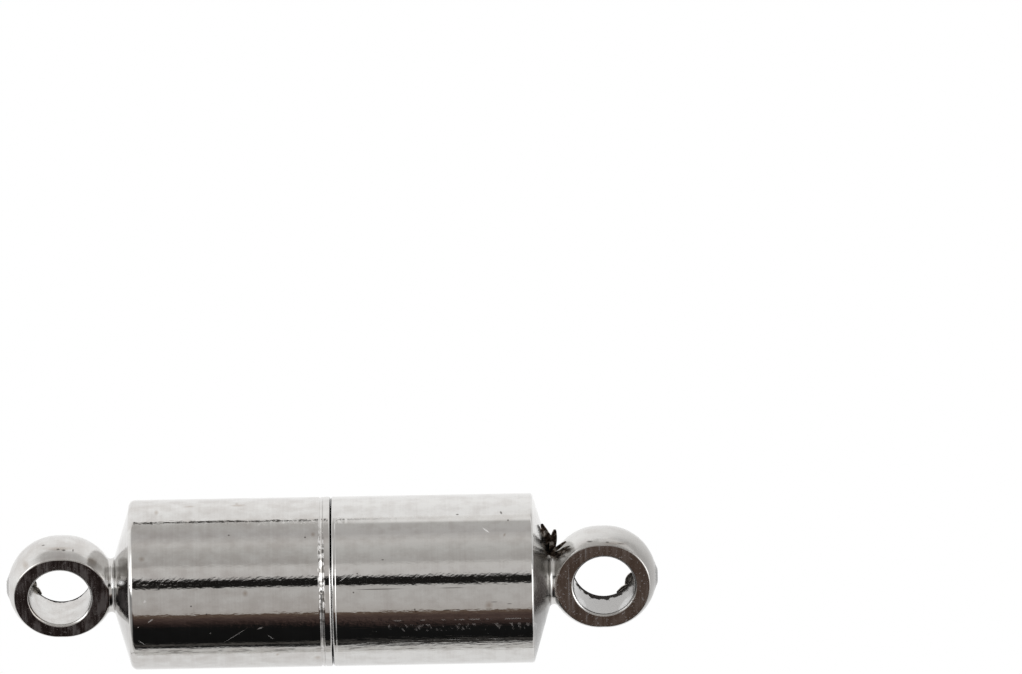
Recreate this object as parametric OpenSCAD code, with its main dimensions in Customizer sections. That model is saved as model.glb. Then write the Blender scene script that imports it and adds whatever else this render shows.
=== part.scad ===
// Magnetic clasp for a bracelet or necklace, closed and lying on its side.
// Each half is one turned piece, a cupped barrel with a conical shoulder, a short neck and a ball
// that is milled flat and drilled as an eyelet, and a round magnet is glued into the cup.
// The long axis runs along X, at the height of the barrel's radius above the table, and the origin
// lies on the table under the joint between the halves. Sizes are in millimetres.

/* [Barrel] */
// Outer diameter of the barrel
barrel_d = 5; // [4:0.1:8]
// Length of one half's barrel, from the mating rim to the corner of the shoulder
barrel_l = 5.88; // [4:0.02:10]
// Thickness of the wall around the magnet
wall_t = 0.3; // [0.2:0.05:0.6]
// Radius of the rounded mating rim
rim_round = 0.08; // [0.04:0.01:0.15]
// Broken edge at the corner of the shoulder
corner_break = 0.05; // [0.02:0.01:0.15]

/* [Shoulder and neck] */
// Length of the conical shoulder along the axis
shoulder_l = 0.5; // [0.2:0.05:2]
// Diameter of the neck
neck_d = 1.58; // [1.2:0.02:2]
// Length of the neck between the shoulder and the ball
neck_l = 0.18; // [0.1:0.02:2]

/* [Eyelet] */
// Diameter of the turned ball that the eyelet is milled from
ball_d = 3; // [2.8:0.1:4]
// Length of the straight band around the middle of the ball
band_l = 0.18; // [0.06:0.02:0.6]
// Thickness of the eyelet between its two milled flats
eyelet_t = 1.5; // [1.1:0.05:1.8]
// How far the flats run past the ball into the neck
flat_run = 0.04; // [0.02:0.01:0.08]
// Diameter of the drilled hole
hole_d = 1.8; // [1.2:0.05:1.9]
// Distance from the tip of the ball to the middle of the hole
hole_from_tip = 1.55; // [1.4:0.05:1.7]
// Broken edge around both ends of the hole
hole_break = 0.05; // [0.02:0.01:0.1]
// Diameter of the blunt nose left at the tip by parting off
nose_d = 0.8; // [0.4:0.05:1]
// How far that nose stands out of the ball
nose_l = 0.03; // [0.02:0.01:0.1]

/* [Turn of each eyelet about the long axis] */
// Lean of the left eyelet's flats away from lying level
left_turn = 28; // [-90:1:90]
// Lean of the right eyelet's flats away from lying level
right_turn = 21; // [-90:1:90]

/* [Magnets] */
// Length of each magnet
magnet_l = 3; // [1:0.1:3.2]
// Broken edge at both ends of each magnet
magnet_break = 0.12; // [0.05:0.01:0.3]
// How far each magnet's face lies below the mating rim
magnet_recess = 0.06; // [0.02:0.01:0.3]

/* [Fits] */
// Gap between the two mating rims when the clasp is closed
rim_gap = 0.05; // [0.02:0.01:0.1]
// Glue gap around the magnet and behind it
glue_gap = 0.04; // [0.02:0.01:0.1]

/* [Hidden] */
$fn = 96;

barrel_r = barrel_d / 2;
neck_r = neck_d / 2;
ball_r = ball_d / 2;
axis_height = max(barrel_r, ball_r);

cup_r = barrel_r - wall_t;
cup_depth = magnet_recess + magnet_l + glue_gap;

// Places along one half's axis, from its mating rim outwards
shoulder_end = barrel_l + shoulder_l;
ball_start = shoulder_end + neck_l;
inner_centre = ball_start + sqrt(ball_r ^ 2 - neck_r ^ 2);
outer_centre = inner_centre + band_l;
tip = outer_centre + ball_r;
hole_centre = tip - hole_from_tip;

// Shapes that cut run this far past what they cut, and the nose starts this far inside the ball
past = 1;
nose_root = 0.1;

// Right half of the ball's outline: two arcs joined by the straight band
module ball_profile() {
    intersection() {
        union() {
            translate([0, inner_centre])
                circle(ball_r);
            translate([0, outer_centre])
                circle(ball_r);
            translate([0, inner_centre])
                square([ball_r, band_l]);
        }
        translate([0, inner_centre - ball_r])
            square([ball_r + past, 2 * ball_r + band_l]);
    }
}

// Right half of the outline of barrel, shoulder and neck, up to the middle of the ball
module body_profile() {
    square([barrel_r - rim_round, barrel_l / 2]);
    translate([barrel_r - rim_round, rim_round])
        circle(rim_round);
    polygon([
        [0, rim_round],
        [barrel_r, rim_round],
        [barrel_r, barrel_l - corner_break],
        [barrel_r - corner_break, barrel_l],
        [neck_r, shoulder_end],
        [neck_r, inner_centre],
        [0, inner_centre]
    ]);
}

// The piece as it comes off the lathe, along Z from its mating rim
module turned_blank() {
    difference() {
        union() {
            rotate_extrude()
                body_profile();
            rotate_extrude()
                ball_profile();
            translate([0, 0, tip - nose_root])
                cylinder(h = nose_root + nose_l, d1 = nose_d, d2 = nose_d / 2);
        }
        translate([0, 0, -past])
            cylinder(h = past + cup_depth, r = cup_r);
    }
}

// The two milled cuts that leave the eyelet's flats square to Z
module flat_cuts() {
    cut_start = ball_start - flat_run;
    for (side = [-1, 1])
        translate([cut_start, -ball_r - past, side * (eyelet_t / 2 + ball_r) - ball_r])
            cube([tip + nose_l + past - cut_start, 2 * (ball_r + past), 2 * ball_r]);
}

// The drill's hole along Z, with its broken edges at both flats
module hole_cut() {
    cylinder(h = eyelet_t + 2 * past, d = hole_d, center = true);
    for (side = [0, 1])
        mirror([0, 0, side])
            translate([0, 0, eyelet_t / 2 - hole_break])
                cylinder(h = 2 * hole_break, r1 = hole_d / 2, r2 = hole_d / 2 + 2 * hole_break);
}

// One half's shell along +X from its mating rim, turned about X as a whole
module half_shell(turn) {
    rotate([turn, 0, 0])
        difference() {
            rotate([90, 0, 90])
                turned_blank();
            flat_cuts();
            translate([hole_centre, 0, 0])
                hole_cut();
        }
}

// One magnet along +X, in its place behind the mating rim
module half_magnet() {
    magnet_r = cup_r - glue_gap;
    translate([magnet_recess, 0, 0])
        rotate([0, 90, 0])
            rotate_extrude()
                polygon([
                    [0, 0],
                    [magnet_r - magnet_break, 0],
                    [magnet_r, magnet_break],
                    [magnet_r, magnet_l - magnet_break],
                    [magnet_r - magnet_break, magnet_l],
                    [0, magnet_l]
                ]);
}

// Sets one half's piece, drawn from x = 0 outwards, on its side of the joint
module on_right() {
    translate([rim_gap / 2, 0, axis_height])
        children();
}

module on_left() {
    mirror([1, 0, 0])
        on_right()
            children();
}

module left_shell() {
    color([0.73, 0.72, 0.70])
        on_left()
            half_shell(left_turn);
}

module left_magnet() {
    color([0.62, 0.62, 0.61])
        on_left()
            half_magnet();
}

module right_shell() {
    color([0.73, 0.72, 0.70])
        on_right()
            half_shell(right_turn);
}

module right_magnet() {
    color([0.62, 0.62, 0.61])
        on_right()
            half_magnet();
}

left_shell();
left_magnet();
right_shell();
right_magnet();
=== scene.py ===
import math

import bmesh
import bpy
from mathutils import Matrix, Vector


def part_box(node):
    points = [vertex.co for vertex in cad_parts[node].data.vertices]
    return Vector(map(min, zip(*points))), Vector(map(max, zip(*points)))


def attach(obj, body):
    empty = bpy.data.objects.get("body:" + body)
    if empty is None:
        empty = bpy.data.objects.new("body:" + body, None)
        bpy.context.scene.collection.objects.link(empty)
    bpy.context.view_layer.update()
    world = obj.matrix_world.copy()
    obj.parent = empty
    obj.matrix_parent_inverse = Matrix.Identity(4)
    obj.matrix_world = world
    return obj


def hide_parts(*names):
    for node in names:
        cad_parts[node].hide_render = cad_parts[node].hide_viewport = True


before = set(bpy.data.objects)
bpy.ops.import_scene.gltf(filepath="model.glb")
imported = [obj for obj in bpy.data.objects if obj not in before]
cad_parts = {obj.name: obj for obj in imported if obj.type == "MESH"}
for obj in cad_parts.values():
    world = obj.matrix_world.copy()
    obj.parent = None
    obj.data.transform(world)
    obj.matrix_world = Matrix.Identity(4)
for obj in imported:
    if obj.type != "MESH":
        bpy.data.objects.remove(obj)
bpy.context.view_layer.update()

# Lengths are in millimetres until a piece is finished, and then it is brought to metres
MM = 0.001


def in_mm(corner):
    """A corner of a box, in millimetres."""
    return Vector(corner) / MM


# Places taken from the frame
shell_low, shell_high = (in_mm(c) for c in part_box("right_shell"))
magnet_low, magnet_high = (in_mm(c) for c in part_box("right_magnet"))
RIM = shell_low.x
TIP = shell_high.x
BARREL_R = (shell_high.y - shell_low.y) / 2
AXIS_Z = (shell_high.z + shell_low.z) / 2
MAGNET_R = (magnet_high.y - magnet_low.y) / 2

# Sizes of one half, along its axis from the mating rim and across it
BARREL_L = 5.88
SHOULDER_L = 0.5
NECK_L = 0.18
NECK_R = 0.79
BALL_R = 1.5
BAND_L = 0.18
FLAT_Z = 0.75
FLAT_RUN = 0.04
HOLE_R = 0.9
HOLE_FROM_TIP = 1.55
NOSE_L = 0.03
NOSE_TIP_R = 0.2
NOSE_ROOT = 0.1
NOSE_ROOT_R = 0.53
WALL_T = 0.3
GLUE_GAP = 0.04

# Lean of each eyelet's flats away from lying level
LEFT_TURN = math.radians(28)
RIGHT_TURN = math.radians(21)

# Places along the right half's axis, from the plane where the halves meet
BARREL_END = RIM + BARREL_L
SHOULDER_END = BARREL_END + SHOULDER_L
BALL_START = SHOULDER_END + NECK_L
INNER_CENTRE = BALL_START + math.sqrt(BALL_R ** 2 - NECK_R ** 2)
BALL_TIP = TIP - NOSE_L
HOLE_CENTRE = BALL_TIP - HOLE_FROM_TIP
CUP_R = BARREL_R - WALL_T
CUP_END = magnet_high.x + GLUE_GAP

# The rims meet where they are thickest, and leave a fine groove outside that
RIM_TOUCH = 0.004
RIM_TOUCH_R = BARREL_R - 0.075

# Rounded edges, each as the length that it takes off both sides of its corner
RIM_ROUND = 0.045
CUP_CORNER_ROUND = 0.03
ROOT_ROUND = 0.1
BALL_ROOT_ROUND = 0.075
FLAT_EDGE = 0.03
HOLE_EDGE = 0.07
MAGNET_EDGE = 0.12

# How the turned body ends inside the ball: how far in it leaves the ball's surface, and the stub
# that it narrows to there
LEAVES_SURFACE = 0.055
STUB_END = INNER_CENTRE - 1
STUB_R = NECK_R - 0.2

# The cuts that carry the flats on into the neck: their length, and how much deeper they are
CUT_L = 2
CUT_DEEPER = 0.002

# Torn-up flakes: their thickness, how finely they are cut up along and across, where in a half wave
# their width starts and how much of it they follow, how full that is, and how hollow for the width
FLAKE_T = 0.025
FLAKE_GRID = (14, 6)
FLAKE_WAVE = (0.12, 0.84)
FLAKE_FULLNESS = 0.7
FLAKE_HOLLOW = 0.1

# The flakes at the right neck, as seen from above: root, tip, the side that each is hollow towards,
# and its width, curl and taper
NECK_FLAKES = [
    ((6.48, 0.74, 0.25), (6.17, 1.6, 0.75), (0.3, -0.5, 1), 0.4, 0.05, 0.6),
    ((6.47, 0.72, 0.3), (6.56, 1.44, 0.8), (0.1, -0.6, 1), 0.2, 0.06, 0),
    ((6.46, 0.72, 0.35), (6.88, 1.07, 0.72), (0.3, -0.4, 1), 0.12, 0.03, 0.2),
]

# The flakes along the holes' lower edges: from and to which angle about the hole, and the width, and
# for all of them how far root and tip rise from the flat into the hole, the curl and the taper
LEFT_HOLE_FLAKES = [(-8, -30, 0.22), (-24, -46, 0.16)]
RIGHT_HOLE_FLAKES = [(-12, -42, 0.3), (-38, -64, 0.14)]
HOLE_FLAKE_RISE = (0.1, 0.02)
HOLE_FLAKE_CURL = 0.04
HOLE_FLAKE_TAPER = 0.2

# What differs between the halves: the rounded corner of the shoulder, and the fine turned grooves
# behind the mating rim, each from its near edge down to its far edge, with its depth
LEFT_CORNER_ROUND = 0.14
RIGHT_CORNER_ROUND = 0.06
LEFT_GROOVES = [
    (0.195, 0.222, 0.018),
    (0.262, 0.322, 0.03),
]
RIGHT_GROOVES = [
    (0.115, 0.135, 0.009),
]

# How finely round shapes, outlines' corners and bevelled edges are cut up, and the profile of the
# holes' edges, a little flatter than round
TURNS = 192
BALL_RINGS = 70
ROUND_STEPS = 5
EDGE_STEPS = 4
HOLE_EDGE_PROFILE = 0.36

# How near to each other places lie that count as one: as drawn, after a cut, and where they merge
SAME_PLACE = 1e-4
NEARLY_SAME = 1e-3
MERGED = 1e-5

# Edges that turn by more than this stay sharp
SMOOTH_UP_TO = math.radians(22)

# Faces above this area, in square millimetres, are straight along the axis or flat, and keep their
# own direction, so that the rounded edges beside them don't bend their reflections
LONG_FACE = 0.01

# The photograph's frame, in pixels, and how the clasp lies in it
FRAME_W = 1022
FRAME_H = 674
PX_PER_MM = 34
JOINT_PX = Vector((332.3, 581.2))
ROW_LEAN = math.radians(1.03)

# The camera: how high above the long axis it is, how near it begins to see, and its sensor's width
CAMERA_ABOVE_AXIS = 340
NEAREST_SEEN = 10
SENSOR = 36


def deselect_all():
    """Deselects everything, so that an operator acts only on what is made or selected next."""
    bpy.ops.object.select_all(action="DESELECT")


def only(piece):
    """Selects one piece and makes it the active one."""
    deselect_all()
    piece.select_set(True)
    bpy.context.view_layer.objects.active = piece
    return piece


def edit(piece):
    """Opens one piece in edit mode."""
    only(piece)
    bpy.ops.object.mode_set(mode="EDIT")


def done():
    """Leaves edit mode."""
    bpy.ops.object.mode_set(mode="OBJECT")


def pick_verts(piece, wanted):
    """Selects, in edit mode, the vertices whose place passes the test."""
    bpy.context.tool_settings.mesh_select_mode = (True, False, False)
    bpy.ops.mesh.select_all(action="DESELECT")
    mesh = bmesh.from_edit_mesh(piece.data)
    for vert in mesh.verts:
        vert.select = wanted(vert.co)
    mesh.select_flush_mode()
    bmesh.update_edit_mesh(piece.data)


def pick_edges(piece, wanted):
    """Selects, in edit mode, the edges whose two ends pass the test."""
    bpy.context.tool_settings.mesh_select_mode = (False, True, False)
    bpy.ops.mesh.select_all(action="DESELECT")
    mesh = bmesh.from_edit_mesh(piece.data)
    for edge in mesh.edges:
        edge.select = wanted(edge.verts[0].co, edge.verts[1].co)
    mesh.select_flush_mode()
    bmesh.update_edit_mesh(piece.data)


def draw_outline(name, corners):
    """An open outline of (along, across, rounding) corners in the XZ plane, each corner rounded."""
    deselect_all()
    bpy.ops.mesh.primitive_plane_add(size=1)
    piece = bpy.context.object
    piece.name = name
    bpy.context.tool_settings.mesh_select_mode = (True, False, False)
    edit(piece)
    bpy.ops.mesh.select_all(action="SELECT")
    bpy.ops.mesh.merge(type="CENTER")
    places = [Vector((along, 0, across)) for along, across, _ in corners]
    bpy.ops.transform.translate(value=places[0])
    for before, after in zip(places, places[1:]):
        bpy.ops.mesh.extrude_region_move(TRANSFORM_OT_translate={"value": after - before})
    for place, (_, _, rounding) in zip(places, corners):
        if rounding:
            pick_verts(piece, lambda co: (co - place).length < SAME_PLACE)
            bpy.ops.mesh.bevel(affect="VERTICES", offset=rounding, segments=ROUND_STEPS, profile=0.5)
    done()
    return piece


def spin_about_x(piece):
    """Turns an outline into a closed piece round the X axis."""
    edit(piece)
    bpy.ops.mesh.select_all(action="SELECT")
    bpy.ops.mesh.spin(steps=TURNS, angle=2 * math.pi, center=(0, 0, 0), axis=(1, 0, 0))
    bpy.ops.mesh.select_all(action="SELECT")
    bpy.ops.mesh.remove_doubles(threshold=MERGED)
    bpy.ops.mesh.normals_make_consistent(inside=False)
    done()
    return piece


def combine(piece, other, operation):
    """Cuts the other piece out of this one, or welds it on, and removes it."""
    only(piece)
    bpy.ops.object.modifier_add(type="BOOLEAN")
    boolean = piece.modifiers[-1]
    boolean.operation = operation
    boolean.solver = "EXACT"
    boolean.object = other
    bpy.ops.object.modifier_apply(modifier=boolean.name)
    bpy.data.objects.remove(other)
    return piece


def finish_piece(piece, bodyname, slotname, *nodes):
    """Brings a piece to metres in its place, sets its shading and hands it to its body."""
    only(piece)
    bpy.ops.object.transform_apply(location=True, rotation=True, scale=True)
    edit(piece)
    bpy.ops.mesh.select_all(action="SELECT")
    bpy.ops.mesh.normals_make_consistent(inside=False)
    done()
    bpy.ops.object.shade_smooth_by_angle(angle=SMOOTH_UP_TO)
    bpy.ops.object.modifier_add(type="WEIGHTED_NORMAL")
    weighted = piece.modifiers[-1]
    weighted.keep_sharp = True
    bpy.ops.object.modifier_apply(modifier=weighted.name)
    edit(piece)
    bpy.context.tool_settings.mesh_select_mode = (False, False, True)
    bpy.ops.mesh.select_all(action="DESELECT")
    mesh = bmesh.from_edit_mesh(piece.data)
    for face in mesh.faces:
        face.select = face.calc_area() > LONG_FACE * MM * MM
    bmesh.update_edit_mesh(piece.data)
    bpy.ops.mesh.set_normals_from_faces()
    done()
    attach(piece, bodyname)
    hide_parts(*nodes)


def turned_body(name, corner_round, grooves):
    """The turned barrel with its cup, shoulder and neck, whose end lies inside the ball."""
    into_ball = BALL_START + LEAVES_SURFACE
    groove_corners = []
    for near, far, depth in grooves:
        groove_corners += [(near, BARREL_R, 0), (far, BARREL_R - depth, 0), (far + depth, BARREL_R, 0)]
    corners = [
        (CUP_END, 0, 0),
        (CUP_END, CUP_R, CUP_CORNER_ROUND),
        (RIM_TOUCH, CUP_R, CUP_CORNER_ROUND),
        (RIM_TOUCH, RIM_TOUCH_R, 0),
        (RIM, BARREL_R, RIM_ROUND),
        *groove_corners,
        (BARREL_END, BARREL_R, corner_round),
        (SHOULDER_END, NECK_R, ROOT_ROUND),
        (BALL_START, NECK_R, BALL_ROOT_ROUND),
        (into_ball, math.sqrt(BALL_R ** 2 - (INNER_CENTRE - into_ball) ** 2), 0),
        (STUB_END, STUB_R, 0),
        (STUB_END, 0, 0),
    ]
    return spin_about_x(draw_outline(name, corners))


def milled_ball():
    """The ball with its two milled flats, a straight band round its middle and its drilled hole."""
    deselect_all()
    bpy.ops.mesh.primitive_uv_sphere_add(segments=TURNS, ring_count=BALL_RINGS, radius=BALL_R)
    ball = bpy.context.object
    edit(ball)
    for side in (1, -1):
        bpy.ops.mesh.select_all(action="SELECT")
        bpy.ops.mesh.bisect(plane_co=(0, 0, side * FLAT_Z), plane_no=(0, 0, side), use_fill=True,
                            clear_outer=True)
    pick_edges(ball, lambda a, b: abs(abs(a.z) - FLAT_Z) < SAME_PLACE and abs(a.z - b.z) < SAME_PLACE)
    bpy.ops.mesh.bevel(affect="EDGES", offset=FLAT_EDGE, segments=EDGE_STEPS, profile=0.5)
    pick_verts(ball, lambda co: co.x > SAME_PLACE)
    bpy.ops.transform.translate(value=(BAND_L, 0, 0))
    bpy.ops.mesh.select_all(action="SELECT")
    bpy.ops.transform.translate(value=(INNER_CENTRE, 0, 0))
    done()
    deselect_all()
    bpy.ops.mesh.primitive_cylinder_add(vertices=TURNS, radius=HOLE_R, depth=4 * FLAT_Z,
                                        location=(HOLE_CENTRE, 0, 0))
    combine(ball, bpy.context.object, "DIFFERENCE")
    deselect_all()
    bpy.ops.mesh.primitive_cone_add(vertices=TURNS, radius1=NOSE_ROOT_R, radius2=NOSE_TIP_R,
                                    depth=NOSE_ROOT + NOSE_L, rotation=(0, math.pi / 2, 0),
                                    location=(TIP - (NOSE_ROOT + NOSE_L) / 2, 0, 0))
    combine(ball, bpy.context.object, "UNION")
    edit(ball)

    def on_hole_edge(co):
        away = math.hypot(co.x - HOLE_CENTRE, co.y)
        return abs(away - HOLE_R) < NEARLY_SAME and abs(abs(co.z) - FLAT_Z) < SAME_PLACE

    pick_edges(ball, lambda a, b: on_hole_edge(a) and on_hole_edge(b))
    bpy.ops.mesh.bevel(affect="EDGES", offset=HOLE_EDGE, segments=EDGE_STEPS, profile=HOLE_EDGE_PROFILE)
    done()
    return ball


def petal(root, tip, face, width, curl, taper, finish):
    """A torn-up flake of metal from its root to its narrow tip, hollow on the side towards face."""
    deselect_all()
    bpy.ops.mesh.primitive_grid_add(x_subdivisions=FLAKE_GRID[0], y_subdivisions=FLAKE_GRID[1], size=1)
    flake = bpy.context.object
    wave_start, wave_run = FLAKE_WAVE
    along = tip - root
    out = (face - face.project(along)).normalized()
    across = out.cross(along).normalized()
    for vert in flake.data.vertices:
        run = vert.co.x + 0.5
        full = math.sin(math.pi * (wave_start + wave_run * run)) ** FLAKE_FULLNESS
        wide = width * full * (1 - taper * run)
        lift = curl * run * run + FLAKE_HOLLOW * width * (2 * vert.co.y) ** 2
        vert.co = root + along * run + across * vert.co.y * wide + out * lift
    bpy.ops.object.modifier_add(type="SOLIDIFY")
    flake.modifiers[-1].thickness = FLAKE_T
    bpy.ops.object.modifier_apply(modifier=flake.modifiers[-1].name)
    flake.data.materials.append(finish)
    edit(flake)
    bpy.ops.mesh.select_all(action="SELECT")
    bpy.ops.mesh.normals_make_consistent(inside=False)
    done()
    return flake


def neck_burr(turn, finish):
    """Three flakes torn up where the right neck was turned: along the shoulder, upright, and along
    the ball, turned back by as much as the half is turned later."""
    level = Matrix.Rotation(-turn, 3, "X")
    return [petal(*(level @ Vector(place) for place in (root, tip, face)), width, curl, taper, finish)
            for root, tip, face, width, curl, taper in NECK_FLAKES]


def hole_burr(from_degrees, to_degrees, width, finish):
    """A flake that lies along the hole's edge at the lower flat and hangs a little into the hole."""
    centre = Vector((HOLE_CENTRE, 0, -FLAT_Z))
    ends = []
    for degrees, rise in zip((from_degrees, to_degrees), HOLE_FLAKE_RISE):
        angle = math.radians(degrees)
        ends.append(centre + Vector((math.cos(angle), math.sin(angle), 0)) * HOLE_R + Vector((0, 0, rise)))
    return petal(*ends, Vector((0, 0, 1)), width, HOLE_FLAKE_CURL, HOLE_FLAKE_TAPER, finish)


def half_shell(name, corner_round, grooves):
    """One half's shell along +X, with its flats square to Z."""
    body = turned_body(name, corner_round, grooves)
    cut_start = BALL_START - FLAT_RUN
    cut_size = Vector((CUT_L, 2 * BALL_R, BALL_R))
    for side in (1, -1):
        deselect_all()
        bpy.ops.mesh.primitive_cube_add(size=1, scale=cut_size, location=(
            cut_start + cut_size.x / 2, 0, side * (FLAT_Z - CUT_DEEPER + cut_size.z / 2)))
        combine(body, bpy.context.object, "DIFFERENCE")
    return combine(body, milled_ball(), "UNION")


def name_finishes(shell, all_over, milled):
    """Gives a shell its plating, and its two milled flats the finish that milling left."""
    shell.data.materials.append(all_over)
    shell.data.materials.append(milled)
    for face in shell.data.polygons:
        corners = [shell.data.vertices[index].co for index in face.vertices]
        if all(abs(abs(co.z) - FLAT_Z) < NEARLY_SAME and co.x > BALL_START - FLAT_RUN for co in corners):
            face.material_index = 1


def join_flakes(shell, flakes):
    """Makes the torn-up flakes part of the shell that they were torn from."""
    only(shell)
    for flake in flakes:
        flake.select_set(True)
    bpy.ops.object.join()


def place_half(shell, side, turn):
    """Turns a half about the long axis and sets it on its side of the joint."""
    shell.rotation_euler = (turn, 0, 0)
    only(shell)
    bpy.ops.object.transform_apply(location=False, rotation=True, scale=False)
    shell.scale = (side * MM, MM, MM)
    shell.location = (0, 0, AXIS_Z * MM)


def magnet(name, side):
    """A round magnet with rounded edges, in its place in the cup."""
    corners = [
        (magnet_low.x, 0, 0),
        (magnet_low.x, MAGNET_R, MAGNET_EDGE),
        (magnet_high.x, MAGNET_R, MAGNET_EDGE),
        (magnet_high.x, 0, 0),
    ]
    piece = spin_about_x(draw_outline(name, corners))
    piece.scale = (side * MM, MM, MM)
    piece.location = (0, 0, AXIS_Z * MM)
    return piece


def srgb(code):
    """A hex colour as linear light with alpha."""
    values = [int(code[i:i + 2], 16) / 255 for i in (1, 3, 5)]
    linear = [v / 12.92 if v <= 0.04045 else ((v + 0.055) / 1.055) ** 2.4 for v in values]
    return (*linear, 1)


def node(tree, kind, inputs=None, **settings):
    """Adds a node with its settings, and sets each input, or links it to a socket or a node."""
    made = tree.nodes.new("ShaderNode" + kind)
    for key, value in settings.items():
        setattr(made, key, value)
    for key, value in (inputs or {}).items():
        if isinstance(value, bpy.types.Node):
            value = value.outputs[0]
        if isinstance(value, bpy.types.NodeSocket):
            tree.links.new(value, made.inputs[key])
        else:
            made.inputs[key].default_value = value
    return made


# Spots, specks and scratches, a painted dark reflection and painted highlights: where they are along
# and across the clasp as seen from above, the length and width of each, and how far its length is
# turned from the long axis, in degrees
BROWN_SPOTS = [
    (-5.52, 0.79, 0.16, 0.13, 0),
    (-0.51, 1.42, 0.12, 0.12, 0),
    (-2.51, -0.26, 0.14, 0.16, 0),
    (5.09, 1.31, 0.1, 0.06, 60),
    (4.6, -0.73, 0.2, 0.22, 0),
    (-1.62, -2.09, 0.11, 0.06, 20),
    (-0.45, -2.2, 0.2, 0.1, 0),
    (-7.04, 0.74, 0.3, 0.16, -35),
    (-8.98, 0.66, 0.2, 0.25, 30),
    (-8.0, 1.12, 0.8, 0.1, 0),
    (8.3, 0.98, 0.8, 0.1, 0),
    (-4.14, 2.28, 0.3, 0.03, 3),
    (-2.71, 2.29, 0.4, 0.06, 0),
    (-2.75, 2.32, 0.1, 0.1, 0),
    (-5.1, 2.13, 0.12, 0.12, 40),
    (-8.74, -0.8, 0.95, 0.1, -52),
]
DARK_SPECKS_AND_REFLECTION = [
    (-0.74, 1.34, 0.06, 0.05, 0),
    (-4.1, -0.61, 0.06, 0.05, 0),
    (-3.65, -0.85, 0.05, 0.05, 0),
    (1.52, 0.65, 0.08, 0.03, 0),
    (3.72, 1.92, 0.09, 0.04, 0),
    (5.0, 1.95, 0.06, 0.1, 30),
    (5.2, 1.73, 0.06, 0.05, 0),
    (-2.97, 1.44, 0.06, 0.04, 0),
    (-8.45, 1.22, 0.12, 0.04, 10),
    (-8.01, 1.1, 0.1, 0.05, 0),
    (-7.84, 1.07, 0.12, 0.06, 0),
    (-7.57, 1.06, 0.05, 0.09, 0),
    (3.37, -0.85, 0.2, 0.03, 0),
    (3.7, -0.85, 0.12, 0.03, 0),
    (2.46, -0.89, 0.05, 0.04, 0),
    (4.75, -0.64, 0.2, 0.02, 0),
    (5.2, -0.7, 0.15, 0.02, 0),
    (7.58, 1.05, 0.2, 0.06, 0),
    (8.1, 1.02, 0.12, 0.05, 0),
    (8.5, 0.97, 0.25, 0.04, -8),
    (6.16, 0.82, 0.15, 0.09, 0),
    # The next two are no specks but a painted dark reflection of the left ball, at the root of the left neck
    (-6.25, -0.42, 0.3, 0.6, 0),
    (-6.5, -0.45, 0.2, 0.4, 0),
    (1.4, -0.205, 1.3, 0.03, 0),
    (3.52, -0.204, 0.75, 0.022, 0),
    (0.65, -0.29, 0.05, 0.05, 0),
    (2.43, -0.82, 0.06, 0.06, 0),
    (0.77, 0.26, 0.05, 0.05, 0),
]
SCRATCHES = [
    (-2.82, -1.49, 0.86, 0.022, 31),
    (-1.8, -1.56, 0.26, 0.03, -35),
    (-5.58, -1.66, 0.28, 0.03, -35),
    (4.55, 1.45, 0.24, 0.045, -36),
    (-5.45, -0.45, 0.08, 0.06, 30),
    (-5.66, -1.2, 0.05, 0.05, 0),
    (-3.55, -1.42, 0.04, 0.05, 0),
    (-2.1, -1.29, 0.22, 0.05, 20),
    (-5.3, -1.02, 0.2, 0.05, 35),
    (0.36, 0.12, 0.3, 0.02, 35),
]
# Painted highlights: white, rough spots at the left neck and at the right hole's near edge
PAINTED_GLINTS = [
    (-6.64, 0.13, 0.17, 0.3, 0),
    (-6.42, 0.09, 0.19, 0.34, 0),
    (-6.17, 0.1, 0.26, 0.17, 0),
    (7.3, -0.75, 0.42, 0.2, -52),
    (8.64, -0.78, 0.66, 0.2, 47),
]

# Bright spots and lines on the milled flats, in the same way
FLAT_SCRATCHES = [
    (6.95, -0.3, 0.03, 1.3, 0),
    (7.06, -0.5, 0.03, 0.9, 0),
    (7.46, 0.72, 0.04, 0.36, 0),
    (7.46, -1.22, 0.03, 0.3, 0),
    (7.86, 0.85, 0.03, 0.2, 0),
    (8.05, -1.3, 0.03, 0.2, 0),
]

# Rows of fine chatter marks and drawn-out lines on the near side of the right half: the turn of their
# grain, how many there are per mm each way, how much of the noise is left out, and the row's near
# and far edge, and for all of them over how much of the noise they fade in, and how strong they are
CHATTER = [
    (28, (9, 5.5, 4), 0.52, -1.46, -1.27),
    (0, (4.5, 1, 1), 0.46, -1.15, -1.13),
    (0, (0.8, 20, 10), 0.6, -1.75, -1.56),
]
CHATTER_FADE = 0.12
CHATTER_STRENGTH = 0.8

# How far down the marks reach from the highest point of the barrel
UPPER_SIDE = 3.2

# Where the other marks lie, along or across the clasp: from, to, and over how much they fade out.
# First the painted shade in the joint's groove, the dark gap between the halves, over how much it
# fades towards the axis, and the part of the groove that is bare metal
JOINT = (-0.026, 0.026, 0.01)
JOINT_FADE = 0.02
JOINT_BARE = (-1.75, 0.3, 0.25)

# The grooves behind the left rim, with beads of dirt and of bare metal, and ragged edges
GROOVES = (-0.35, -0.2, 0.02)
GROOVE_BOTTOMS = [(-0.352, -0.318, 0.01), (-0.24, -0.215, 0.01)]
DIRT_BEADS = (-1.1, 1.1, 0.3)
BARE_BEADS = (-0.75, 1.45, 0.1)
RAGGED = ((-0.36, -0.2, 0.02), (-0.75, 1.5, 0.2))

# The near foot of both barrels, the part of the right shoulder with painted shade, the left shoulder
# without and with its neck, and the chatter marks
NEAR_FOOT = ((-BARREL_END, BARREL_END, 0.05), (-2.0, -1.91, 0.03))
RIGHT_SHOULDER = ((BARREL_END + 0.03, SHOULDER_END, 0.04), (-2.5, 0.5, 0.35))
LEFT_SHOULDER = (-SHOULDER_END, -BARREL_END - 0.05, 0.04)
LEFT_SHOULDER_AND_NECK = (-BALL_START, -BARREL_END, 0.1)
CHATTER_ALONG = (1.4, 5.7, 0.4)
CHATTER_EDGE = 0.02

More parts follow.
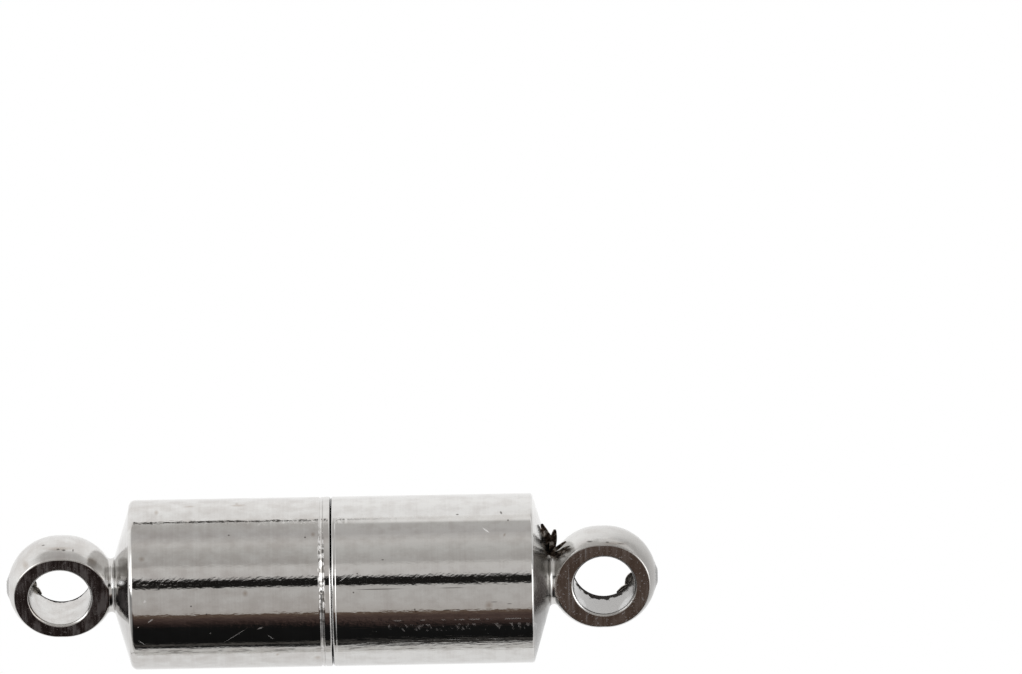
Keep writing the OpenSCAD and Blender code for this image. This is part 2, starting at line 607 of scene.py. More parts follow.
# The strokes of the polishing along the top, how far they slant, those towards the bottom, and where
# there are none
TOP_STROKES = (0.06, 0.3, 0.05)
STROKE_SLANT = math.radians(33)
LOW_STREAKS = (-2.1, -1.35, 0.15)
CALM = ((0.5, 6.5, 0.08), (1.55, 1.95, 0.15))

# From where on and to where a change builds up: the painted shade on the shoulders towards the near
# side, the darkening of the right ball towards its tip, the strokes to the left, the streaks to the
# right, and how bare the flakes are from the neck to the holes
RIGHT_SHADE_BUILDS = (-0.65, -1.0)
LEFT_SHADE_BUILDS = (-0.6, -1.2)
TIP_DARKENS = (7.0, 9.3)
MORE_STROKES = (-4, -5)
MORE_STREAKS = (-0.5, 1)
MORE_BARE = (7, 8)

# The dirt on the holes' walls: the least and the most that it reaches up from the lower edge, how
# much of that in the left and in the right hole, and how far outside the hole the wall still counts
DIRT_REACH = (0.06, 0.3)
DIRT_SHARE = (0.35, 1.6)
WALL_MARGIN = 0.03

# How much paler the right half is, how much light is left where it only grazes the plating, and how
# rough the barrels are at least and at most, how much rougher the shoulders and eyelets, and how much
# of that the left shoulder and neck have
RIGHT_PALER = 0.3
GRAZING = 0.88
BARREL_ROUGH = (0.03, 0.075)
SATIN_ROUGH = 0.13
LEFT_SATIN = 0.2

# How deep the polishing's strokes, the cutter's lines and the magnet's pits are
STROKE_DEPTH = 0.004
CUTTER_LINE_DEPTH = 0.0012
PIT_DEPTH = 0.008


def any_of(tree, place, marks, soft=0.4):
    """Where any of the marks lies on the upper side: 1 inside, falling to 0 over its soft edge."""
    most = 0
    for along, across, length, width, turned in marks:
        own = node(tree, "Mapping", {
            "Vector": place, "Location": (along, across, AXIS_Z + BARREL_R),
            "Rotation": (0, 0, math.radians(turned)),
            "Scale": (length / 2, width / 2, UPPER_SIDE)}, vector_type="TEXTURE")
        away = node(tree, "VectorMath", {0: own}, operation="LENGTH").outputs["Value"]
        inside = node(tree, "MapRange", {
            "Value": away, "From Min": 1.0 + soft / 2, "From Max": 1.0 - soft}).outputs[0]
        most = node(tree, "Math", {0: most, 1: inside}, operation="MAXIMUM").outputs[0]
    return most


def between(tree, value, low, high, fade):
    """1 where the value lies from low to high, with soft ends."""
    above = node(tree, "MapRange", {"Value": value, "From Min": low - fade, "From Max": low}).outputs[0]
    below = node(tree, "MapRange", {"Value": value, "From Min": high + fade, "From Max": high}).outputs[0]
    return node(tree, "Math", {0: above, 1: below}, operation="MULTIPLY").outputs[0]


def patch(tree, axes, along, across):
    """1 where a place lies both within a stretch along the clasp and within one across it."""
    ends = between(tree, axes[0], *along)
    sides = between(tree, axes[1], *across)
    return node(tree, "Math", {0: ends, 1: sides}, operation="MULTIPLY").outputs[0]


def in_millimetres(tree):
    """The place on the surface in millimetres."""
    place = node(tree, "TexCoord").outputs["Object"]
    return node(tree, "VectorMath", {0: place, "Scale": 1 / MM}, operation="SCALE").outputs["Vector"]


def grain(tree, place, turn, per_mm, detail=2.0):
    """Noise whose grain is turned about Z and drawn out: how many times it repeats per mm each way."""
    turned = node(tree, "Mapping", {"Vector": place, "Rotation": (0, 0, -turn)}).outputs[0]
    scaled = node(tree, "VectorMath", {0: turned, 1: per_mm}, operation="MULTIPLY").outputs[0]
    return node(tree, "TexNoise", {"Vector": scaled, "Scale": 1.0, "Detail": detail}).outputs[0]


def new_metal(name):
    """A new metal, with its node tree and its shader to fill in."""
    material = bpy.data.materials.new(name)
    material.use_nodes = True
    tree = material.node_tree
    shader = tree.nodes["Principled BSDF"]
    shader.inputs["Metallic"].default_value = 1
    return material, tree, shader


def fill_in(tree, shader, colour, roughness, relief, depth):
    """Gives a metal its colour, its roughness, and its relief of a depth in millimetres."""
    bump = node(tree, "Bump", {"Height": relief, "Distance": depth * MM}).outputs[0]
    for socket, value in (("Base Color", colour), ("Roughness", roughness), ("Normal", bump)):
        tree.links.new(value, shader.inputs[socket])


def hole_edge_dirt(tree, place, along, across, above, rightward):
    """Polishing dirt on the drilled wall along its edge at the lower flat, more in the right hole,
    and where the right hole's wall is."""
    turn = node(tree, "MapRange", {
        "Value": rightward, "To Min": LEFT_TURN, "To Max": RIGHT_TURN}).outputs[0]
    lean = node(tree, "Math", {0: turn}, operation="SINE").outputs[0]
    level = node(tree, "Math", {0: turn}, operation="COSINE").outputs[0]
    risen = node(tree, "Math", {0: above, 1: level}, operation="MULTIPLY").outputs[0]
    sunk = node(tree, "Math", {0: across, 1: lean}, operation="MULTIPLY").outputs[0]
    from_middle = node(tree, "Math", {0: risen, 1: sunk}, operation="SUBTRACT").outputs[0]
    patchy = node(tree, "TexNoise", {"Vector": place, "Scale": 5.5, "Detail": 3.0}).outputs[0]
    reach = node(tree, "MapRange", {
        "Value": patchy, "From Min": 0.3, "From Max": 0.7,
        "To Min": DIRT_REACH[0], "To Max": DIRT_REACH[1]}).outputs[0]
    share = node(tree, "MapRange", {
        "Value": rightward, "To Min": DIRT_SHARE[0], "To Max": DIRT_SHARE[1]}).outputs[0]
    reach = node(tree, "Math", {0: reach, 1: share}, operation="MULTIPLY").outputs[0]
    from_edge = node(tree, "Math", {0: from_middle, 1: FLAT_Z - HOLE_EDGE}, operation="ADD").outputs[0]
    low = node(tree, "Math", {0: from_edge, 1: reach}, operation="LESS_THAN").outputs[0]

    # The drilled wall is what lies within the hole's radius of its middle, measured along the flats
    out_along = node(tree, "Math", {0: along}, operation="ABSOLUTE").outputs[0]
    out_along = node(tree, "Math", {0: out_along, 1: HOLE_CENTRE}, operation="SUBTRACT").outputs[0]
    span = node(tree, "Math", {0: across, 1: level}, operation="MULTIPLY").outputs[0]
    span = node(tree, "Math", {0: above, 1: lean, 2: span}, operation="MULTIPLY_ADD").outputs[0]
    away = node(tree, "CombineXYZ", {0: out_along, 1: span})
    away = node(tree, "VectorMath", {0: away}, operation="LENGTH").outputs["Value"]
    drilled = node(tree, "Math", {0: away, 1: HOLE_R + WALL_MARGIN}, operation="LESS_THAN").outputs[0]
    dirt = node(tree, "Math", {0: low, 1: drilled}, operation="MULTIPLY").outputs[0]
    return dirt, node(tree, "Math", {0: drilled, 1: rightward}, operation="MULTIPLY").outputs[0]


def bright_plating():
    """Bright white plating over turned brass: a mirror with fine handling scratches, that shows
    the strokes of the polishing along its top and bottom, with specks and lines of dirt. It also
    carries painted shade in the joint's gap and on the near side of the shoulders, a painted dark
    reflection at the left neck, and painted highlights."""
    material, tree, shader = new_metal("bright_plating")
    shader.inputs["Specular Tint"].default_value = (GRAZING, GRAZING, GRAZING, 1)
    place = in_millimetres(tree)
    axes = node(tree, "SeparateXYZ", {"Vector": place}).outputs
    along, across, height = axes
    above = node(tree, "Math", {0: height, 1: AXIS_Z}, operation="SUBTRACT").outputs[0]
    upper = node(tree, "Math", {0: height, 1: AXIS_Z}, operation="GREATER_THAN").outputs[0]
    rightward = node(tree, "Math", {0: along, 1: 0.0}, operation="GREATER_THAN").outputs[0]

    # A slightly uneven shade, from fine turning lines and handling marks, and paler at the right half
    mottle = grain(tree, place, 0, (2.2, 3, 3), 5)
    lines = grain(tree, place, 0, (14, 0.4, 0.4))
    both = node(tree, "Math", {0: lines, 1: 0.25, 2: mottle}, operation="MULTIPLY_ADD").outputs[0]
    shade = node(tree, "MapRange", {"Value": both, "From Min": 0.45, "From Max": 0.8}).outputs[0]
    shade = node(tree, "Math", {0: rightward, 1: RIGHT_PALER, 2: shade}, operation="MULTIPLY_ADD").outputs[0]
    colour = node(tree, "Mix", {
        0: shade, 6: srgb("#bcb9b6"), 7: srgb("#cccbc9")}, data_type="RGBA").outputs[2]
    spots = any_of(tree, place, BROWN_SPOTS, 0.9)
    # Dark specks of dirt, and the painted dark reflection of the left ball at the root of the left neck
    specks = any_of(tree, place, DARK_SPECKS_AND_REFLECTION)

    # Dirt lies in the holes. The outer groove of the joint is painted black, as painted shade in the gap
    # between the halves, but for a stretch of bare metal
    wall_dirt, right_wall = hole_edge_dirt(tree, place, along, across, above, rightward)
    in_joint = between(tree, along, *JOINT)
    from_axis = node(tree, "VectorMath", {0: node(tree, "CombineXYZ", {0: across, 1: above})},
                     operation="LENGTH").outputs["Value"]
    outside = node(tree, "MapRange", {
        "Value": from_axis, "From Min": RIM_TOUCH_R - JOINT_FADE, "From Max": RIM_TOUCH_R}).outputs[0]
    in_joint = node(tree, "Math", {0: in_joint, 1: outside}, operation="MULTIPLY").outputs[0]
    joint_bare = between(tree, across, *JOINT_BARE)
    joint_bare = node(tree, "Math", {0: joint_bare, 1: in_joint}, operation="MULTIPLY").outputs[0]
    joint_shade = node(tree, "Math", {0: in_joint, 1: joint_bare}, operation="SUBTRACT").outputs[0]
    # dirt holds both the dirt on the holes' walls and the painted shade in the joint's gap
    dirt = node(tree, "Math", {0: wall_dirt, 1: joint_shade}, operation="MAXIMUM").outputs[0]

    # Dirt lies in the grooves behind the left rim in beads, with beads of bare metal between them
    clumps = grain(tree, place, 0, (4, 8, 8), 1)
    beads = node(tree, "MapRange", {"Value": clumps, "From Min": 0.53, "From Max": 0.43}).outputs[0]
    for where in (between(tree, along, *GROOVES), between(tree, across, *DIRT_BEADS)):
        beads = node(tree, "Math", {0: beads, 1: where}, operation="MULTIPLY").outputs[0]
    bottoms = [between(tree, along, *bottom) for bottom in GROOVE_BOTTOMS]
    bottoms = node(tree, "Math", {0: bottoms[0], 1: bottoms[1]}, operation="MAXIMUM").outputs[0]
    bare = node(tree, "MapRange", {"Value": clumps, "From Min": 0.47, "From Max": 0.53}).outputs[0]
    for where in (between(tree, across, *BARE_BEADS), bottoms):
        bare = node(tree, "Math", {0: bare, 1: where}, operation="MULTIPLY").outputs[0]

    # Fine dark marks run along the near foot of both barrels
    marks = grain(tree, place, 0, (2.5, 22, 12), 3)
    marks = node(tree, "MapRange", {
        "Value": marks, "From Min": 0.54, "From Max": 0.64, "To Max": 0.6}).outputs[0]
    marks = node(tree, "Math", {0: marks, 1: patch(tree, axes, *NEAR_FOOT)}, operation="MULTIPLY").outputs[0]

    # Painted shade: both shoulders are darker towards the near side, standing for the shadow under the
    # clasp that they reflect. The right ball is darker towards its tip
    right_near_shade = patch(tree, axes, *RIGHT_SHOULDER)
    # duller is painted shade as well, deeper towards the near side of the right shoulder
    duller = node(tree, "MapRange", {
        "Value": across, "From Min": RIGHT_SHADE_BUILDS[0], "From Max": RIGHT_SHADE_BUILDS[1], "To Max": 0.82}).outputs[0]
    duller = node(tree, "Math", {0: right_near_shade, 1: duller}, operation="MULTIPLY").outputs[0]
    left_near_shade = node(tree, "MapRange", {
        "Value": across, "From Min": LEFT_SHADE_BUILDS[0], "From Max": LEFT_SHADE_BUILDS[1], "To Max": 0.45}).outputs[0]
    left_near_shade = node(tree, "Math", {
        0: left_near_shade, 1: between(tree, along, *LEFT_SHOULDER)}, operation="MULTIPLY").outputs[0]
    tip_darkening = node(tree, "MapRange", {
        "Value": along, "From Min": TIP_DARKENS[0], "From Max": TIP_DARKENS[1], "To Max": 0.55}).outputs[0]

    # Painted highlights: white, rough spots that stay bright from any side. Scratches, chatter marks and
    # bare metal scatter the light, and show pale in dark reflections
    painted_glints = any_of(tree, place, PAINTED_GLINTS, 0.6)
    bare = node(tree, "Math", {0: bare, 1: joint_bare}, operation="MAXIMUM").outputs[0]
    scratched = any_of(tree, place, SCRATCHES)
    scratched = node(tree, "Math", {0: scratched, 1: bare}, operation="MAXIMUM").outputs[0]
    for turn, per_mm, least, near, far in CHATTER:
        row = patch(tree, axes, CHATTER_ALONG, (near, far, CHATTER_EDGE))
        row = node(tree, "Math", {0: row, 1: upper}, operation="MULTIPLY").outputs[0]
        ticks = grain(tree, place, math.radians(turn), per_mm)
        ticks = node(tree, "MapRange", {
            "Value": ticks, "From Min": least, "From Max": least + CHATTER_FADE}).outputs[0]
        for share in (row, CHATTER_STRENGTH):
            ticks = node(tree, "Math", {0: ticks, 1: share}, operation="MULTIPLY").outputs[0]
        scratched = node(tree, "Math", {0: scratched, 1: ticks}, operation="MAXIMUM").outputs[0]

    # Each mark's colour lies over the ones before it, as strongly as its number says
    for share, strength, code in (
        (spots, 0.6, "#8f7f70"),
        # dark specks, and the painted dark reflection at the left neck
        (specks, 0.75, "#3a332d"),
        (right_wall, 1, "#9f9e9d"),
        # dirt in the holes, and painted shade in the joint's gap
        (dirt, 1, "#2e2722"),
        (beads, 0.8, "#74716d"),
        (marks, 1, "#4a4540"),
        # painted shade on the near side of the right shoulder, deeper nearer
        (right_near_shade, 1, "#94918d"),
        (duller, 1, "#4f4d4b"),
        # painted shade on the near side of the left shoulder; the right ball darker towards its tip
        (left_near_shade, 1, "#94918d"),
        (tip_darkening, 1, "#94918d"),
        (scratched, 0.7, "#ffffff"),
        # painted highlights
        (painted_glints, 1, "#ffffff"),
    ):
        if strength < 1:
            share = node(tree, "Math", {0: share, 1: strength}, operation="MULTIPLY").outputs[0]
        colour = node(tree, "Mix", {0: share, 6: colour, 7: srgb(code)}, data_type="RGBA").outputs[2]

    # The barrels are a mirror. Shoulders and eyelets are more satin, but hardly the left shoulder and
    # neck, and marks and dirt are dull
    rough = node(tree, "MapRange", {
        "Value": lines, "From Min": 0.3, "From Max": 0.7,
        "To Min": BARREL_ROUGH[0], "To Max": BARREL_ROUGH[1]}).outputs[0]
    out_along = node(tree, "Math", {0: along}, operation="ABSOLUTE").outputs[0]
    satin = node(tree, "MapRange", {"Value": out_along, "From Min": BARREL_END - 0.05,
                                    "From Max": BARREL_END + 0.05, "To Max": SATIN_ROUGH}).outputs[0]
    crisp = between(tree, along, *LEFT_SHOULDER_AND_NECK)
    crisp = node(tree, "MapRange", {"Value": crisp, "To Min": 1.0, "To Max": LEFT_SATIN}).outputs[0]
    satin = node(tree, "Math", {0: satin, 1: crisp}, operation="MULTIPLY").outputs[0]
    rough = node(tree, "Math", {0: rough, 1: satin}, operation="ADD").outputs[0]
    for share, its_own in ((scratched, 0.38), (painted_glints, 0.65), (wall_dirt, 1.0)):
        rough = node(tree, "MapRange", {"Value": share, "To Min": rough, "To Max": its_own}).outputs[0]

    # Strokes of the polishing: slanted along the top, drawn out lengthwise towards the bottom
    top = between(tree, across, *TOP_STROKES)
    top = node(tree, "Math", {0: top, 1: upper}, operation="MULTIPLY").outputs[0]
    leftmost = node(tree, "MapRange", {
        "Value": along, "From Min": MORE_STROKES[0], "From Max": MORE_STROKES[1],
        "To Min": 0.4, "To Max": 0.8}).outputs[0]
    strokes = grain(tree, place, STROKE_SLANT, (3.5, 15, 2))
    for where in (top, leftmost):
        strokes = node(tree, "Math", {0: strokes, 1: where}, operation="MULTIPLY").outputs[0]
    rightmost = node(tree, "MapRange", {
        "Value": along, "From Min": MORE_STREAKS[0], "From Max": MORE_STREAKS[1],
        "To Min": 0.3, "To Max": 1.1}).outputs[0]
    streaks = grain(tree, place, 0, (1.6, 18, 12), 3)
    for where in (between(tree, across, *LOW_STREAKS), rightmost):
        streaks = node(tree, "Math", {0: streaks, 1: where}, operation="MULTIPLY").outputs[0]
    relief = node(tree, "Math", {0: strokes, 1: streaks}, operation="ADD").outputs[0]

    # Soft waves, ragged grooves and a fine unevenness add to them, and one stretch stays calm
    waves = grain(tree, place, 0, (0.3, 1.8, 1.8), 3)
    ragged = grain(tree, place, 0, (8, 6, 6), 1)
    ragged = node(tree, "Math", {0: ragged, 1: patch(tree, axes, *RAGGED)}, operation="MULTIPLY").outputs[0]
    fine = grain(tree, place, 0, (5, 12, 12), 2)
    for uneven, strength in ((waves, 0.8), (ragged, 3.0), (fine, 0.45)):
        relief = node(tree, "Math", {0: uneven, 1: strength, 2: relief}, operation="MULTIPLY_ADD").outputs[0]
    calm = node(tree, "MapRange", {
        "Value": patch(tree, axes, *CALM), "To Min": 1.0, "To Max": 0.0}).outputs[0]
    relief = node(tree, "Math", {0: relief, 1: calm}, operation="MULTIPLY").outputs[0]
    fill_in(tree, shader, colour, rough, relief, STROKE_DEPTH)
    return material


def milled_plating():
    """Plating over flats that a cutter left: darker and duller, with fine lines across and specks."""
    material, tree, shader = new_metal("milled_plating")
    place = in_millimetres(tree)
    along = node(tree, "SeparateXYZ", {"Vector": place}).outputs["X"]
    leftward = node(tree, "Math", {0: along, 1: 0.0}, operation="LESS_THAN").outputs[0]
    lines = grain(tree, place, 0, (13, 1.2, 1.2), 3)
    blotches = grain(tree, place, 0, (3, 1.8, 1.8), 3)
    both = node(tree, "Math", {0: lines, 1: blotches}, operation="ADD").outputs[0]
    shade = node(tree, "MapRange", {"Value": both, "From Min": 0.75, "From Max": 1.25}).outputs[0]
    colour = node(tree, "Mix", {
        0: shade, 6: srgb("#938f8f"), 7: srgb("#adabac")}, data_type="RGBA").outputs[2]
    flecks = node(tree, "TexNoise", {"Vector": place, "Scale": 15.0, "Detail": 1.0}).outputs[0]
    bright = node(tree, "MapRange", {"Value": flecks, "From Min": 0.64, "From Max": 0.72}).outputs[0]
    scratched = any_of(tree, place, FLAT_SCRATCHES, 0.9)
    bright = node(tree, "Math", {0: bright, 1: scratched}, operation="MAXIMUM").outputs[0]

    # The left flats are duller than the right ones
    least = node(tree, "MapRange", {"Value": leftward, "To Min": 0.04, "To Max": 0.15}).outputs[0]
    worn = node(tree, "MapRange", {"Value": leftward, "To Min": 0.1, "To Max": 0.35}).outputs[0]
    streaky = node(tree, "MapRange", {"Value": both, "From Min": 0.85, "From Max": 1.2,
                                      "To Min": least, "To Max": worn}).outputs[0]
    rough = node(tree, "MapRange", {"Value": bright, "To Min": streaky, "To Max": 0.4}).outputs[0]
    fill_in(tree, shader, colour, rough, lines, CUTTER_LINE_DEPTH)
    return material


def torn_metal():
    """Torn-up flakes, black with polishing dirt, with brown and bare patches."""
    material, tree, shader = new_metal("torn_metal")
    shader.inputs["Roughness"].default_value = 0.35
    place = in_millimetres(tree)
    along = node(tree, "SeparateXYZ", {"Vector": place}).outputs["X"]
    patches = node(tree, "TexNoise", {"Vector": place, "Scale": 6.5, "Detail": 2.0}).outputs[0]
    brown = node(tree, "MapRange", {"Value": patches, "From Min": 0.35, "From Max": 0.6}).outputs[0]

    # More is bare at the holes than at the neck
    at_hole = node(tree, "Math", {0: along}, operation="ABSOLUTE").outputs[0]
    at_hole = node(tree, "MapRange", {
        "Value": at_hole, "From Min": MORE_BARE[0], "From Max": MORE_BARE[1]}).outputs[0]
    least = node(tree, "MapRange", {"Value": at_hole, "To Min": -0.54, "To Max": -0.34}).outputs[0]
    bare = node(tree, "Math", {0: patches, 1: least}, operation="ADD").outputs[0]
    bare = node(tree, "MapRange", {"Value": bare, "From Min": 0.0, "From Max": 0.12}).outputs[0]
    colour = node(tree, "Mix", {
        0: brown, 6: srgb("#1c1714"), 7: srgb("#66574b")}, data_type="RGBA").outputs[2]
    colour = node(tree, "Mix", {0: bare, 6: colour, 7: srgb("#c9c4bd")}, data_type="RGBA").outputs[2]
    tree.links.new(colour, shader.inputs["Base Color"])
    return material


def magnet_plating():
    """Nickel plating over pressed magnet powder: light grey and satin, with a fine pitted grain."""
    material, tree, shader = new_metal("magnet_plating")
    place = in_millimetres(tree)
    pits = node(tree, "TexNoise", {"Vector": place, "Scale": 9.0, "Detail": 5.0}).outputs[0]
    shade = node(tree, "MapRange", {"Value": pits, "From Min": 0.35, "From Max": 0.65}).outputs[0]
    colour = node(tree, "Mix", {
        0: shade, 6: srgb("#a5a39f"), 7: srgb("#bfbdba")}, data_type="RGBA").outputs[2]
    rough = node(tree, "MapRange", {"Value": shade, "To Min": 0.42, "To Max": 0.3}).outputs[0]
    fill_in(tree, shader, colour, rough, pits, PIT_DEPTH)
    return material


# The soft panels and dark gaps that stand round the table, as the barrel shows them: the angle
# about the long axis, from straight down over the near side, up and over to the far side
PANELS = [
    (-180, "#b0afad"),
    (-107, "#b2b1af"),
    (-105, "#989795"),
    (-103.5, "#b4b3b1"),
    (-98.2, "#acabaa"),
    (-96.7, "#181818"),
    (-92.2, "#161616"),
    (-91, "#4c4a47"),
    (-89.4, "#3d3b39"),
    (-87.8, "#101010"),
    (-60, "#121212"),
    (-54, "#2a211f"),
    (-48, "#413531"),
    (-41.9, "#56493f"),
    (-41.0, "#9a9693"),
    (-23, "#a4a2a0"),
    (-5.2, "#a19f9d"),
    (-4.4, "#171615"),
    (6.5, "#171615"),
    (7.5, "#aeacab"),
    (22, "#afadab"),
    (27, "#999795"),
    (43, "#a4a3a1"),
    (56, "#b0aeac"),
    (69, "#9d9b9a"),
    (89, "#a4a3a1"),
    (96.5, "#d2d1d0"),
]

# White plating over turned brass gives back about this much of the light. The panels' colours are
# what the clasp shows, so the panels themselves are brighter by as much
PLATING_GIVES_BACK = 0.56

# A narrow dark gap beyond the far panel: from, to and over how much it fades, in degrees, and how far
# along X the directions point where it starts and ends, so that only the left half and a little past
# the joint show it
FAR_GAP = (92.5, 94.7, 0.7)
FAR_GAP_STARTS = -0.042
FAR_GAP_ENDS = -0.0147

# Past the gap's right end it is pale there instead, and the brown edge of the near panel hangs lower
# by so many degrees
FAR_PALE = (88.5, 94.7, 4)
NEAR_BROWN = (-62, -53, 3)
NEAR_BROWN_LOWER = 5.5

# The two soft lights beside the table, left and right: the same angle, and how bright they are,
# which a colour ramp holds in parts of the last number
LEFT_LIGHT = [(-180, 0.9), (-90, 0.5), (-20, 0.3), (-8, 3.0), (35, 3.0), (60, 1.4), (90, 1.15)]
RIGHT_LIGHT = [(-180, 0.9), (-90, 0.9), (-60, 1.6), (-35, 3.0), (15, 3.0), (28, 0.6), (60, 0.6), (90, 1.15)]
BRIGHTEST = 4

# How far along X the directions point where the side lights begin, and where they alone are left
SIDES_START = (0.5, 0.8)


def around_axis(tree, share, stops):
    """What light comes from each angle about the long axis, from (degrees, colour) stops."""
    ramp = node(tree, "ValToRGB", {"Fac": share})
    elements = ramp.color_ramp.elements
    elements.remove(elements[1])
    elements[0].position = 0
    elements[0].color = stops[0][1]
    for degrees, colour in stops[1:]:
        elements.new((degrees + 180) / 360).color = colour
    return ramp.outputs["Color"]


def surroundings():
    """Soft panels, dark gaps and the side lights, as the light that comes from each direction."""
    world = bpy.data.worlds.new("studio")
    bpy.context.scene.world = world
    world.use_nodes = True
    tree = world.node_tree
    tree.nodes.clear()
    where = node(tree, "TexCoord").outputs["Generated"]
    along, across, height = node(tree, "SeparateXYZ", {"Vector": where}).outputs
    angle = node(tree, "Math", {0: across, 1: height}, operation="ARCTAN2").outputs[0]
    near_brown, far_gap, far_pale = (
        [math.radians(degrees) for degrees in stretch] for stretch in (NEAR_BROWN, FAR_GAP, FAR_PALE))
    up_to_end = node(tree, "Math", {0: along, 1: FAR_GAP_ENDS}, operation="LESS_THAN").outputs[0]
    past_end = node(tree, "Math", {0: 1.0, 1: up_to_end}, operation="SUBTRACT").outputs[0]
    lower = between(tree, angle, *near_brown)
    lower = node(tree, "Math", {0: lower, 1: past_end}, operation="MULTIPLY").outputs[0]
    shifted = node(tree, "Math", {
        0: lower, 1: math.radians(NEAR_BROWN_LOWER), 2: angle}, operation="MULTIPLY_ADD").outputs[0]
    share = node(tree, "MapRange", {"Value": shifted, "From Min": -math.pi, "From Max": math.pi}).outputs[0]
    room = around_axis(tree, share, [(degrees, srgb(code)) for degrees, code in PANELS])
    gap = between(tree, angle, *far_gap)
    gap = node(tree, "Math", {0: gap, 1: up_to_end}, operation="MULTIPLY").outputs[0]
    starts = node(tree, "Math", {0: along, 1: FAR_GAP_STARTS}, operation="GREATER_THAN").outputs[0]
    gap = node(tree, "Math", {0: gap, 1: starts}, operation="MULTIPLY").outputs[0]
    pale = between(tree, angle, *far_pale)
    pale = node(tree, "Math", {0: pale, 1: past_end}, operation="MULTIPLY").outputs[0]
    for part, code in ((gap, "#3c3a38"), (pale, "#cfcecd")):
        room = node(tree, "Mix", {0: part, 6: room, 7: srgb(code)}, data_type="RGBA").outputs[2]
    room = node(tree, "Background", {"Color": room, "Strength": 1 / PLATING_GIVES_BACK}).outputs[0]
    lamps = []
    for light in (LEFT_LIGHT, RIGHT_LIGHT):
        stops = [(degrees, (*[value / BRIGHTEST] * 3, 1)) for degrees, value in light]
        lamp = around_axis(tree, share, stops)
        lamps.append(node(tree, "Background", {"Color": lamp, "Strength": BRIGHTEST}).outputs[0])
    rightward = node(tree, "Math", {0: along, 1: 0.0}, operation="GREATER_THAN").outputs[0]
    lamp = node(tree, "MixShader", {0: rightward, 1: lamps[0], 2: lamps[1]}).outputs[0]
    sideways = node(tree, "Math", {0: along}, operation="ABSOLUTE").outputs[0]
    beside = node(tree, "MapRange", {
        "Value": sideways, "From Min": SIDES_START[0], "From Max": SIDES_START[1]}).outputs[0]
    studio = node(tree, "MixShader", {0: beside, 1: room, 2: lamp}).outputs[0]
    plain = node(tree, "Background", {"Color": (1, 1, 1, 1), "Strength": 1.0}).outputs[0]
    seen = node(tree, "LightPath").outputs["Is Camera Ray"]
    either = node(tree, "MixShader", {0: seen, 1: studio, 2: plain}).outputs[0]
    node(tree, "OutputWorld", {"Surface": either})


# The sheet that the clasp lies on: how far it reaches near, far and to both sides, and its grey
SHEET_NEAR = 12.6
SHEET_FAR = 34
SHEET_SIDE = 150
SHEET_GREY = 0.12

# The light that the sheet gives at the near and the far side, how much more just beyond the clasp,
# from, to and over how much that fades, and how much of the light is left at the right, with where
# it begins to fall and where it is down to that
SHEET_GLOW = (0.93, 1.05)
SHEET_BESIDE = 0.13
BESIDE = (2 * MM, 6 * MM, 6 * MM)
SHEET_RIGHT = 0.6
RIGHT_FALLS = (9 * MM, 16 * MM)


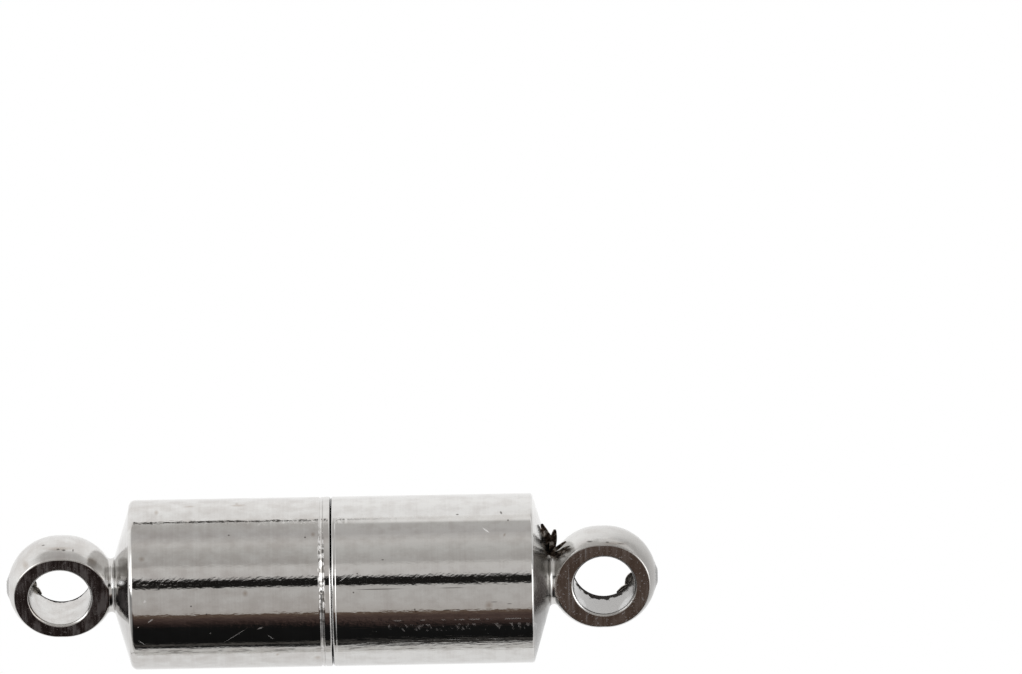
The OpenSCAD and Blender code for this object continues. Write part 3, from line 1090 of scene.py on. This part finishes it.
def table_top():
    """The sheet that the clasp lies on: a soft light for the clasp, and plain white for the camera."""
    deselect_all()
    bpy.ops.mesh.primitive_plane_add(size=1)
    sheet = bpy.context.object
    sheet.name = "table_sheet"
    sheet.scale = (2 * SHEET_SIDE * MM, (SHEET_NEAR + SHEET_FAR) * MM, 1)
    sheet.location = (0, (SHEET_FAR - SHEET_NEAR) / 2 * MM, 0)
    bpy.ops.object.transform_apply(location=True, rotation=False, scale=True)
    material = bpy.data.materials.new("white_sheet")
    material.use_nodes = True
    tree = material.node_tree
    shader = tree.nodes["Principled BSDF"]
    shader.inputs["Base Color"].default_value = (SHEET_GREY, SHEET_GREY, SHEET_GREY, 1)
    shader.inputs["Roughness"].default_value = 0.9
    shader.inputs["Emission Color"].default_value = (1, 1, 1, 1)
    place = node(tree, "TexCoord").outputs["Object"]
    along, across, _ = node(tree, "SeparateXYZ", {"Vector": place}).outputs
    glow = node(tree, "MapRange", {
        "Value": across, "From Min": -SHEET_NEAR * MM, "From Max": SHEET_NEAR * MM,
        "To Min": SHEET_GLOW[0], "To Max": SHEET_GLOW[1]})
    beside = between(tree, across, *BESIDE)
    glow = node(tree, "Math", {0: beside, 1: SHEET_BESIDE, 2: glow}, operation="MULTIPLY_ADD")
    rightward = node(tree, "MapRange", {
        "Value": along, "From Min": RIGHT_FALLS[0], "From Max": RIGHT_FALLS[1],
        "To Min": 1.0, "To Max": SHEET_RIGHT})
    glow = node(tree, "Math", {0: glow, 1: rightward}, operation="MULTIPLY")
    tree.links.new(glow.outputs[0], shader.inputs["Emission Strength"])
    white = node(tree, "Emission", {"Color": (1, 1, 1, 1), "Strength": 1.0})
    seen = node(tree, "LightPath").outputs["Is Camera Ray"]
    either = node(tree, "MixShader", {0: seen, 1: shader, 2: white}).outputs[0]
    tree.links.new(either, tree.nodes["Material Output"].inputs["Surface"])
    sheet.data.materials.append(material)


def camera():
    """A camera straight above the clasp, with the photograph's framing."""
    across = (FRAME_W / 2 - JOINT_PX.x) / PX_PER_MM
    up = (JOINT_PX.y - FRAME_H / 2) / PX_PER_MM
    place = Matrix.Rotation(-ROW_LEAN, 4, "Z") @ Vector((across, up, 0))
    place.z = AXIS_Z + CAMERA_ABOVE_AXIS
    deselect_all()
    bpy.ops.object.camera_add(location=place * MM, rotation=(0, 0, -ROW_LEAN))
    seen_from = bpy.context.object
    seen_from.data.sensor_width = SENSOR
    seen_from.data.lens = SENSOR * CAMERA_ABOVE_AXIS / (FRAME_W / PX_PER_MM)
    seen_from.data.clip_start = NEAREST_SEEN * MM
    bpy.context.scene.camera = seen_from


camera()
surroundings()
table_top()
bpy.context.scene.view_settings.view_transform = "Standard"

plating = bright_plating()
milled = milled_plating()
nickel = magnet_plating()
torn = torn_metal()
left_flakes = [hole_burr(*flake, torn) for flake in LEFT_HOLE_FLAKES]
right_flakes = [hole_burr(*flake, torn) for flake in RIGHT_HOLE_FLAKES] + neck_burr(RIGHT_TURN, torn)
for side, turn, corner_round, grooves, flakes, shell_name, body_name in (
    (-1, LEFT_TURN, LEFT_CORNER_ROUND, LEFT_GROOVES, left_flakes, "left_shell", "left_half"),
    (1, RIGHT_TURN, RIGHT_CORNER_ROUND, RIGHT_GROOVES, right_flakes, "right_shell", "right_shell"),
):
    shell = half_shell("plated_" + shell_name, corner_round, grooves)
    name_finishes(shell, plating, milled)
    join_flakes(shell, flakes)
    place_half(shell, side, turn)
    finish_piece(shell, body_name, "plated_brass", shell_name)
for side, magnet_name, body_name in ((-1, "left_magnet", "left_half"), (1, "right_magnet", "right_magnet")):
    piece = magnet("bonded_" + magnet_name, side)
    piece.data.materials.append(nickel)
    finish_piece(piece, body_name, "plated_magnet", magnet_name)
